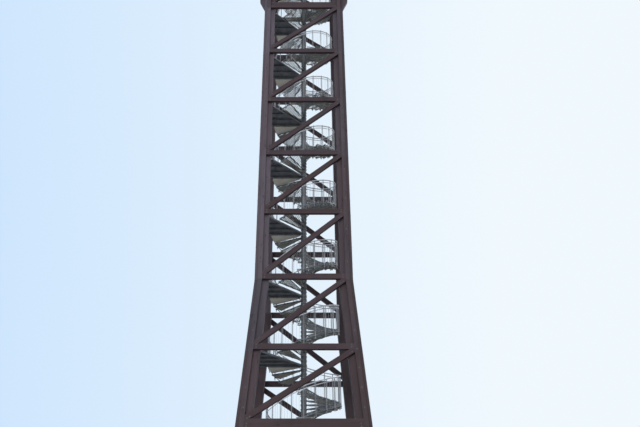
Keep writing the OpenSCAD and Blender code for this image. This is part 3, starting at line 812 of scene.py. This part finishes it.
def side_bolt_places():
    """Bolts of one side: two at each beam's end, two at each brace's end, one row up each cover plank.

    x runs along the side and z up. Each brace runs from the lower left to the upper right.
    """
    from_beam_end = COVER_EDGE + 0.095
    lowest_brace = 0.48
    beam_bolts, brace_bolts = (-0.05, 0.05), (0.1, 0.18)
    row_start, row_end, bolts_a_bay = 0.75, 0.2, 4
    places = []
    for up in beam_bolts:
        z = np.arange(1, LEVELS + 1) * BAY + BEAM / 2 + up
        for side in (-1, 1):
            places.append(points_at(side * (half_at(z) - from_beam_end), 0, z))
    bay = np.arange(LEVELS)
    z0 = bay * BAY + np.where(bay == 0, lowest_brace, BEAM)
    z1 = (bay + 1) * BAY
    x0, x1 = half_at(z0) - COVER_EDGE, half_at(z1) - COVER_EDGE
    slope = (z1 - z0) / (x0 + x1)
    for along in brace_bolts:
        places.append(points_at(-x0 + along, 0, z0 + along * slope))
        places.append(points_at(x1 - along, 0, z1 - along * slope))
    z = np.arange(row_start, LEG_TOP - row_end, BAY / bolts_a_bay)
    for side in (-1, 1):
        places.append(points_at(side * (half_at(z) - PLANK - COVER_WIDTH / 2), 0, z))
    places = np.vstack(places)
    places[:, 1] = -half_at(places[:, 2])
    return places


def face_frames(z):
    """Frames whose z row points out of the front face, which leans below the kink."""
    lean = np.where(z < KINK_Z, math.atan(SPLAY), 0.0)
    frames = np.zeros((len(z), 3, 3))
    frames[:, 0, 0] = 1
    frames[:, 1, 1] = frames[:, 2, 2] = np.sin(lean)
    frames[:, 1, 2] = np.cos(lean)
    frames[:, 2, 1] = -np.cos(lean)
    return frames


def add_frame_bolts():
    """Low bolt heads on the outer faces of all four sides."""
    places = side_bolt_places()
    heads = copies(stacked(LOW_HEAD), places, face_frames(places[:, 2]))
    add_piece("frame_bolts", four_sides(heads), DARK_ZINC)


def add_arm_plates():
    """End plates where each landing's arm meets the left face, and an angle under its plate's end there."""
    plate_half, plate_t, plate_depth, top_depth = 0.075, 0.01, 0.095, 0.008
    angle_t, angle_reach, seat_depth, lip_depth, angle_end = 0.006, 0.05, 0.058, 0.015, -0.1
    off_beam, off_leg = 0.001, 0.002
    z = LANDING_Z
    top = z - top_depth
    x = -(half_at(z) - PLANK - off_beam)
    leg = np.where(z < KINK_Z, SPLAY_LEG_WIDTH, LEG_WIDTH)
    front = -(half_at(z) - leg) + off_leg
    ends = boxes(points_at(x, -plate_half, z - plate_depth), points_at(x + plate_t, plate_half, top))
    seat = boxes(points_at(x, front, z - seat_depth), points_at(x + angle_t, angle_end, top))
    lip = boxes(points_at(x + angle_t, front, z - lip_depth), points_at(x + angle_reach, angle_end, top))
    add_piece("arm_plates", joined(ends, seat, lip), STAIR_ZINC)


def add_anchors():
    """Anchor bolts through the feet's plates and the column's flange."""
    foot_bolt, foot_plate, foot_scale = 0.305, 0.03, 1.35
    flange_bolt, flange_t = 0.16, 0.02
    foot_low, foot_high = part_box("foot_front_right")
    foot_middle = (foot_low.x + foot_high.x) / 2
    corner = np.array([(-1, -1), (1, -1), (1, 1), (-1, 1)])
    feet = (corner[:, None] * foot_middle + corner[None] * foot_bolt).reshape(-1, 2)
    flange = corner * flange_bolt
    parts = []
    for places, z, scale in ((feet, foot_plate, foot_scale), (flange, flange_t, 1.0)):
        upright = turned_frames(np.zeros(len(places)))
        parts.append(copies(stacked(ANCHOR_NUT, scale), points_at(*places.T, z), upright))
    add_piece("anchor_bolts", joined(*parts), STAIR_ZINC)


def add_gallery_boards():
    """Floor boards along X with gaps, cut round the stairwell.

    A board's cut end lies on the well's circle: x is the root of the radius squared less y squared.
    """
    pitch, gap, well_gap, seed = 0.125, 0.007, 0.002, 11
    count = round(2 * GALLERY_HALF / pitch)
    width = 2 * GALLERY_HALF / count
    y0 = -GALLERY_HALF + width * np.arange(count) + gap / 2
    y1 = y0 + width - gap
    cut = np.sqrt(np.maximum(0, (WELL_R + well_gap) ** 2 - np.stack((y0, y1), axis=1) ** 2))
    whole = cut.max(axis=1) <= 0
    plain = boxes(points_at(-GALLERY_HALF, y0[whole], FLOOR_LOW), points_at(GALLERY_HALF, y1[whole], FLOOR_Z))
    half = boxes(points_at(-GALLERY_HALF, y0[~whole], FLOOR_LOW), points_at(0.0, y1[~whole], FLOOR_Z))
    corners = half[0].reshape(-1, 8, 3)
    for bit_y in (0, 1):
        cut_end = (BOX_BITS[:, 0] == 1) & (BOX_BITS[:, 1] == bit_y)
        corners[:, cut_end, 0] = -cut[~whole, bit_y][:, None]
    boards = joined(plain, half, round_axis(half, 0, np.pi))
    piece = add_piece("floor_boards", boards, FLOOR_BOARDS)
    add_shades(piece, seed)
    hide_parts("gallery_floor")


def parapet_part():
    """Front parapet: upright boards outside, three rails behind them and a cap."""
    width, gap, board = 0.118, 0.012, 0.022
    lift, rail_height, rail_short = 0.001, 0.09, 0.002
    rail_lifts = np.array([0.1, 0.5, 0.92])
    cap, cap_out, cap_in = 0.035, 0.008, 0.012
    y = -GALLERY_HALF
    count = round((2 * PARAPET_HALF + gap) / (width + gap))
    pitch = (2 * PARAPET_HALF + gap) / count
    x = -PARAPET_HALF + pitch * np.arange(count)
    z = rail_lifts + FLOOR_Z
    upright = boxes(points_at(x, y, FLOOR_Z + lift),
                    points_at(x + pitch - gap, y + board, PARAPET_TOP - cap))
    rails = boxes(points_at(-PARAPET_HALF, y + board, z),
                  points_at(PARAPET_HALF, y + PARAPET_T - rail_short, z + rail_height))
    top = boxes([(-PARAPET_HALF, y - cap_out, PARAPET_TOP - cap)],
                [(PARAPET_HALF, y + PARAPET_T + cap_in, PARAPET_TOP)])
    return joined(upright, rails, top)


def add_parapets():
    """The front parapet, turned to each side. Every side's boards have shades of their own."""
    first_seed = 20
    for n, side in enumerate(SIDES):
        part = round_axis(parapet_part(), 0, n * np.pi / 2)
        piece = add_piece(side + "_parapet_boards", part, PARAPET_BOARDS)
        add_shades(piece, first_seed + n)
        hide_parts(side + "_parapet")


def roof_height(y):
    """Height of the roof's underside over the front slope: it rises from the eaves towards the middle."""
    return ROOF_LOW.z + ROOF_PITCH * (ROOF_HALF + y)


def slope_bars(low, top, lift, width, height):
    """Bars up the front slope between two places x, y, lifted off its underside, on all four sides."""
    start, end = [points_at(x, y, roof_height(y) + lift) for x, y in (low, top)]
    return four_sides(bars(start, end, width, height))


def add_roof_seams():
    """Standing seams up the roof's slopes, which end short of the hips, and a cap along each hip."""
    count, short, shortest = 13, 0.03, 0.1
    seam_width, seam_height = 0.022, 0.03
    cap_width, cap_height, cap_sink, apex_gap = 0.16, 0.045, 0.012, 0.02
    x = np.linspace(-ROOF_HALF, ROOF_HALF, count + 2)[1:-1]
    x = x[ROOF_HALF - np.abs(x) - short > shortest]
    seams = slope_bars((x, -ROOF_HALF), (x, -np.abs(x) - short), ROOF_T, seam_width, seam_height)
    corner, apex = (ROOF_HALF, -ROOF_HALF), (apex_gap, -apex_gap)
    hips = slope_bars(corner, apex, ROOF_T - cap_sink, cap_width, cap_height)
    add_piece("roof_seams", joined(seams, hips), ROOF_SHEET)


def add_rafters():
    """Rafters under the roof's slopes, which end short of the hips, and a board along the eaves."""
    count, width, depth, tail, short = 7, 0.07, 0.11, 0.05, 0.06
    inset, board, lap = 0.012, 0.028, 0.002
    x = np.linspace(-GALLERY_HALF, GALLERY_HALF, count + 2)[1:-1]
    rafters = slope_bars((x, -ROOF_HALF + tail), (x, -np.abs(x) - short), -depth, width, depth)
    add_piece("rafters", rafters, TIMBER_SPOKES)
    edge = -ROOF_HALF + inset
    eaves = boxes([(edge, edge, ROOF_LOW.z - depth)],
                  [(ROOF_HALF - inset - board, edge + board, ROOF_LOW.z + lap)])
    add_piece("eaves_boards", four_sides(eaves), TIMBER_RING)


def add_guard_infill():
    """Thin bars and two flat rails of the railing round the stairwell."""
    count, rail_points, low = 60, 90, 0.08
    open_sectors = LANDING_SECTORS + 1.5
    start = tread_places()[2][1][-1] + SECTOR / 2
    span = 2 * np.pi - SECTOR * open_sectors
    bar_angle = start + span * (np.arange(count) + 0.5) / count
    thin = infill(bar_angle, FLOOR_Z + low, UPPER_FLAT - low, GUARD_RING)
    angle = np.linspace(start, start + span, rail_points)
    flats = [flat_rail(angle, FLOOR_Z + z, GUARD_RING) for z in (low, UPPER_FLAT)]
    add_piece("guard_bars", joined(thin, *flats), RAIL_ZINC)


make_camera()
make_world()
# The sun stands high on the right, behind the tower. A soft fill from low in front lifts the inside
make_sun("sun", energy=1.6, softness=15, direction=(-0.62, -0.45, -0.75))
make_sun("fill", energy=0.9, softness=40, direction=(0.15, 0.93, -0.33))
make_floor(make_pale_floor())

GRAIN = make_grain_group()
ZINC = make_zinc_group()
# Timbers: the direction of the grain, the dark and the pale stain, and how weathered
TIMBER_UP = make_timber("timber_upright", (0, 0, 1), DARK_STAIN, PALE_STAIN, 0.5)
TIMBER_ACROSS = make_timber("timber_across", (1, 0, 0), BEAM_DARK, BEAM_PALE, 0.4)
TIMBER_DEEP = make_timber("timber_deep", (0, 1, 0), BEAM_DARK, BEAM_PALE, 0.4)
TIMBER_RING = make_timber("timber_ring", (1, 0, 0), BEAM_DARK, BEAM_PALE, 0.4, all_round=True)
TIMBER_SPOKES = make_timber("timber_spokes", (0, 1, 0), BEAM_DARK, BEAM_PALE, 0.4, all_round=True)
# Zinc coats: the colours of bright crystals, of bloom and of stains, and how metallic
STAIR_ZINC = make_zinc("stair_zinc", (0.2, 0.213, 0.238), (0.125, 0.137, 0.155), (0.09, 0.09, 0.085), 0.3)
COLUMN_ZINC = make_zinc("column_zinc", (0.18, 0.19, 0.2), (0.11, 0.12, 0.125), (0.08, 0.08, 0.075), 0.35)
GRATING_ZINC = make_zinc("grating_zinc", (0.6, 0.6, 0.52), (0.44, 0.44, 0.38), (0.28, 0.27, 0.21), 0.2)
RAIL_ZINC = make_zinc("rail_zinc", (0.76, 0.79, 0.85), (0.6, 0.62, 0.68), (0.42, 0.42, 0.42), 0.2)
# Landing sheets: pale zinc, partly painted reflection of the bright sky on their undersides
SHEET_ZINC_AND_REFLECTION = make_zinc("sheet_zinc_and_reflection", (0.76, 0.74, 0.66), (0.66, 0.64, 0.56), (0.48, 0.45, 0.37), 0.1)
# Posts and balusters: mid-grey zinc, made darker partly as painted shade of their backlit side
POST_ZINC_AND_SHADE = make_zinc("post_zinc_and_shade", (0.4, 0.42, 0.46), (0.29, 0.305, 0.34), (0.2, 0.2, 0.2), 0.25)
DARK_ZINC = make_zinc("bolt_zinc", (0.1, 0.095, 0.1), (0.065, 0.06, 0.063), (0.06, 0.04, 0.03), 0.4)
FOOT_ZINC = make_zinc("foot_zinc", (0.34, 0.355, 0.36), (0.22, 0.23, 0.235), (0.13, 0.11, 0.085), 0.6)
FLOOR_BOARDS = make_timber("floor_boards", (1, 0, 0), (0.075, 0.053, 0.05), (0.17, 0.128, 0.115), 0.5,
                           boards=True)
PARAPET_BOARDS = make_timber("parapet_boards", (0, 0, 1), (0.075, 0.052, 0.055), (0.16, 0.118, 0.118), 0.35,
                             boards=True)
ROOF_SHEET = make_roof_sheet()

dress(TIMBER_UP, "head_brackets", "roof_posts")
for pattern, (lighter, warmth) in LEG_LIGHTNESS_AND_WARMTH.items():
    dark, pale = ([lighter * part for part in stain] for stain in (DARK_STAIN, PALE_STAIN))
    stained = make_timber(pattern.format("timber"), (0, 0, 1), dark, pale, 0.5, warmth)
    dress(stained, *[pattern.format(end) for end in ("front", "rear")])
dress(TIMBER_ACROSS, "front_beams", "rear_beams", "gallery_trimmers")
dress(TIMBER_RING, "eaves_beams")
dress(TIMBER_DEEP, "left_beams", "right_beams", "gallery_joists", "hip_rafters")
# One slope of the grain serves every brace of a side: that of a bay of middle width
brace_rise = math.atan2(BAY - BEAM, half_at(KINK_Z / 2) + SHAFT_HALF - 2 * COVER_EDGE)
for number, side in enumerate(SIDES):
    turn = number * math.pi / 2
    run = math.cos(brace_rise)
    direction = (run * math.cos(turn), run * math.sin(turn), math.sin(brace_rise))
    dress(make_timber(side + "_brace_timber", direction, BEAM_DARK, BEAM_PALE, 0.4), side + "_braces")
dress(STAIR_ZINC, *[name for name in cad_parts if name.startswith("flight_")])
dress(COLUMN_ZINC, "stair_column")
dress(RAIL_ZINC, "well_guard_rail")
dress(POST_ZINC_AND_SHADE, "rail_posts_lower", "rail_posts_upper", "well_guard_posts")
dress(FOOT_ZINC, *[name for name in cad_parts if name.startswith("foot_")])
dress(ROOF_SHEET, "roof_covering")

add_stair_rails()
add_balusters()
add_post_clamps()
add_gratings()
add_landing_sheets()
add_column_collars()
add_column_cap()
add_frame_bolts()
add_arm_plates()
add_anchors()
add_gallery_boards()
add_parapets()
add_roof_seams()
add_rafters()
add_guard_infill()

bpy.context.scene.view_settings.view_transform = "Standard"
